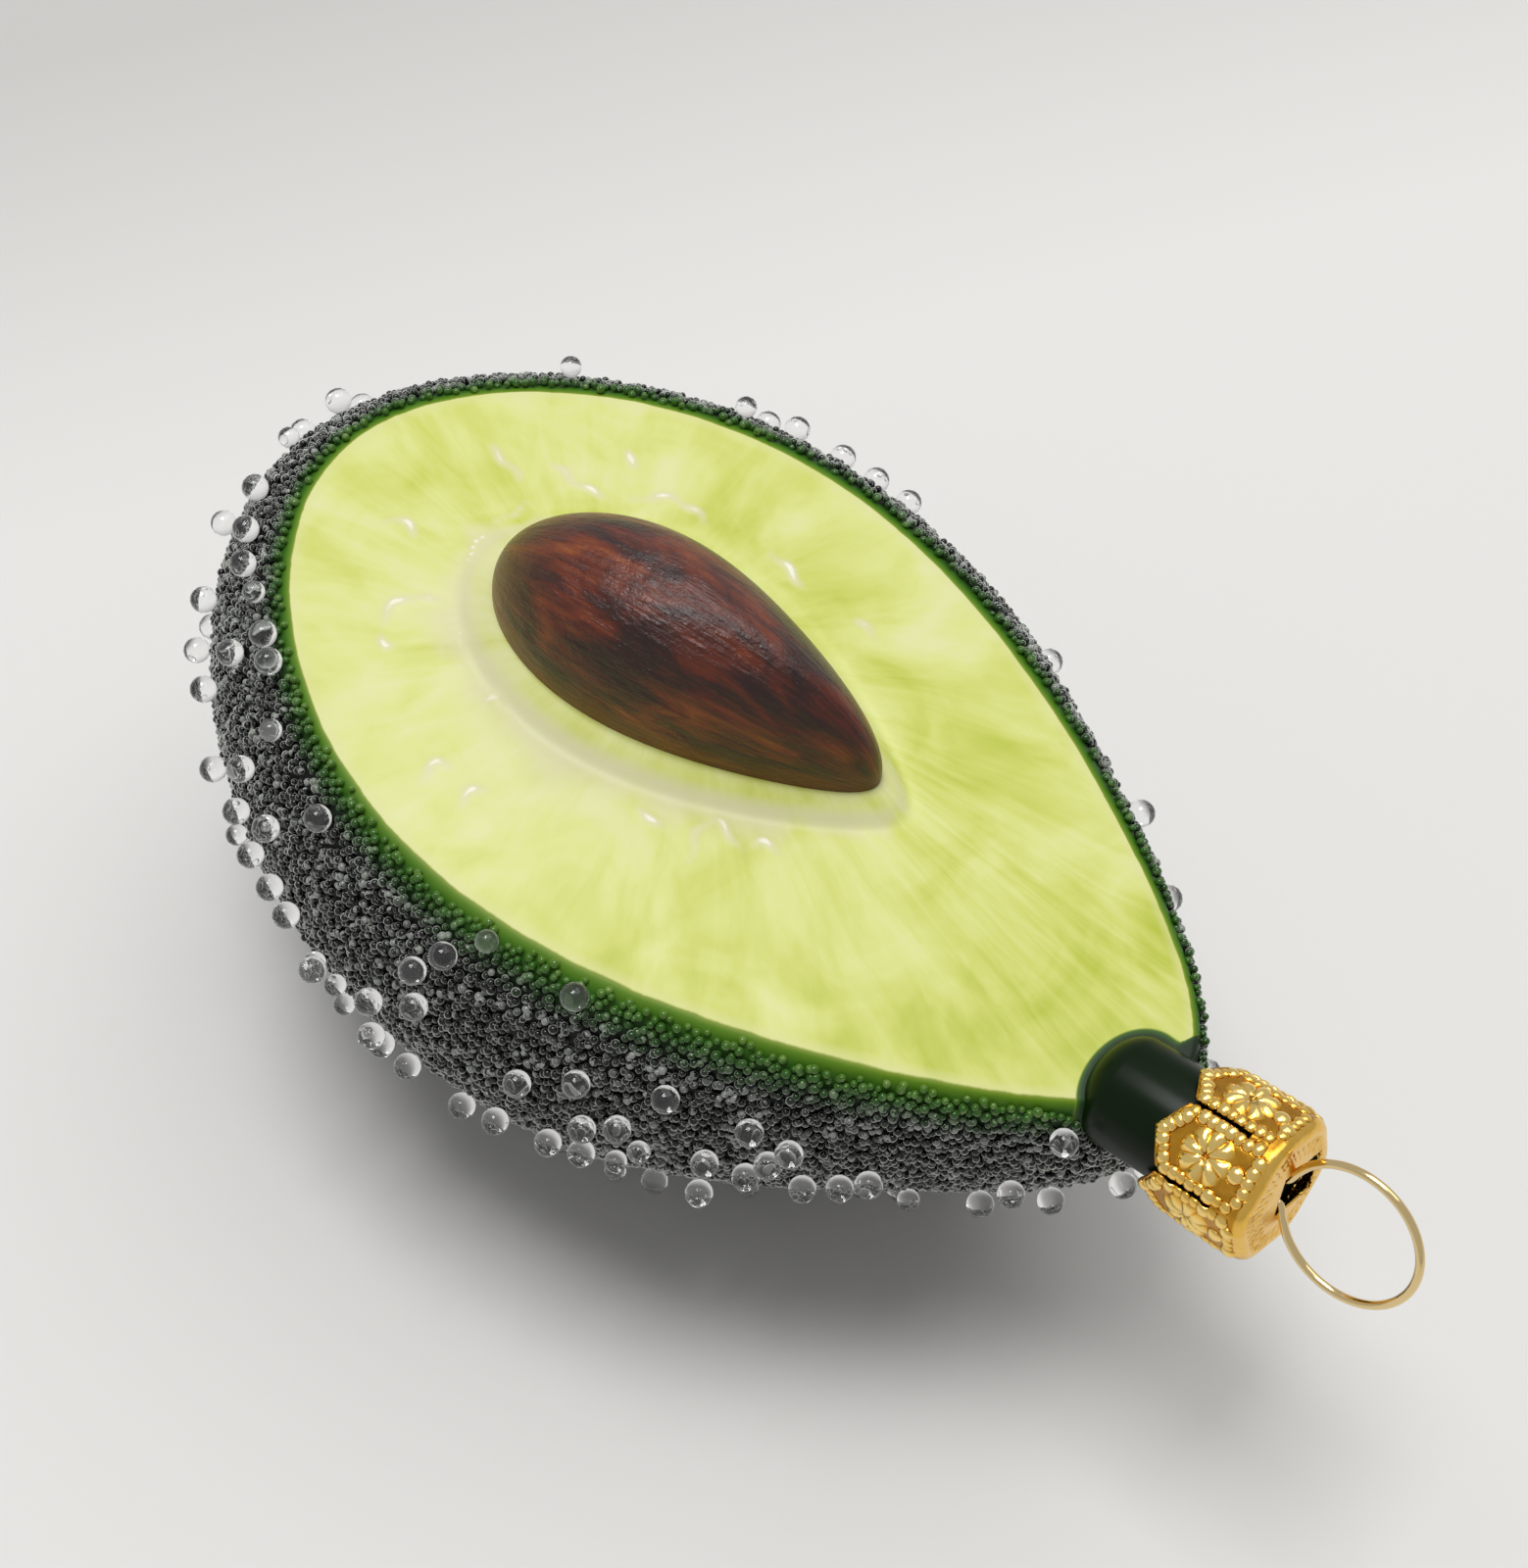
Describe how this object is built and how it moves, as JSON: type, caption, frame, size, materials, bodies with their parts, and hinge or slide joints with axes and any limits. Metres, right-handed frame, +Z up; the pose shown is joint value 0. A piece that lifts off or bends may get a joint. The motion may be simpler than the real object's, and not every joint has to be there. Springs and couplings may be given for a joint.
{
  "type": "avocado ornament",
  "caption": "Blown glass hanging ornament shaped as half an avocado, with a brown pit, a beaded skin, a stamped gold cap and a wire loop.",
  "frame": {"origin": "under the middle of the ornament's box, on the table that it lies on", "axes": "+Z up; +X along its length toward the cap and the wire loop; +Y across the cut face"},
  "size_m": [0.1144, 0.066, 0.0532],
  "materials": {
    "painted_glass": "lacquered, satin to gloss",
    "brown_paint": "glossy brush-painted lacquer",
    "beaded_skin": "fine clear glass beads on near-black lacquer",
    "clear_bead": "clear, polished",
    "stamped_brass": "bright stamped",
    "gold_wire": "polished, pale gold"
  },
  "bodies": {
    "glass": {"glass_body": "painted_glass", "pit_shell": "brown_paint", "bead_coat": "beaded_skin", "rest_bead_01": "clear_bead", "rest_bead_02": "clear_bead", "rest_bead_03": "clear_bead", "rest_bead_04": "clear_bead", "bead_01": "clear_bead", "bead_02": "clear_bead", "bead_03": "clear_bead", "bead_04": "clear_bead", "bead_05": "clear_bead", "bead_06": "clear_bead", "bead_07": "clear_bead", "bead_08": "clear_bead", "bead_09": "clear_bead", "bead_10": "clear_bead", "bead_11": "clear_bead", "bead_12": "clear_bead", "bead_13": "clear_bead", "bead_14": "clear_bead", "bead_15": "clear_bead", "bead_16": "clear_bead", "bead_17": "clear_bead", "bead_18": "clear_bead", "bead_19": "clear_bead", "bead_20": "clear_bead", "bead_21": "clear_bead", "bead_22": "clear_bead", "bead_23": "clear_bead", "bead_24": "clear_bead", "bead_25": "clear_bead", "bead_26": "clear_bead", "bead_27": "clear_bead", "bead_28": "clear_bead", "bead_29": "clear_bead", "bead_30": "clear_bead", "bead_31": "clear_bead", "bead_32": "clear_bead", "bead_33": "clear_bead", "bead_34": "clear_bead", "bead_35": "clear_bead", "bead_36": "clear_bead", "bead_37": "clear_bead", "bead_38": "clear_bead", "bead_39": "clear_bead", "bead_40": "clear_bead", "bead_41": "clear_bead", "bead_42": "clear_bead"},
    "cap": {"cap": "stamped_brass"},
    "hanger": {"wire_hanger": "gold_wire"}
  },
  "joints": [
    {"name": "cap_pull", "type": "slide", "parent": "glass", "child": "cap", "axis": [0.9876, -0.0339, 0.153], "range_m": [0, 0.012]},
    {"name": "hanger_tilt", "type": "hinge", "parent": "cap", "child": "hanger", "pos_m": [0.04586, -0.00344, 0.03706], "axis": [-0.1317, 0.3497, 0.9275], "range_deg": [-10, 10]}
  ]
}
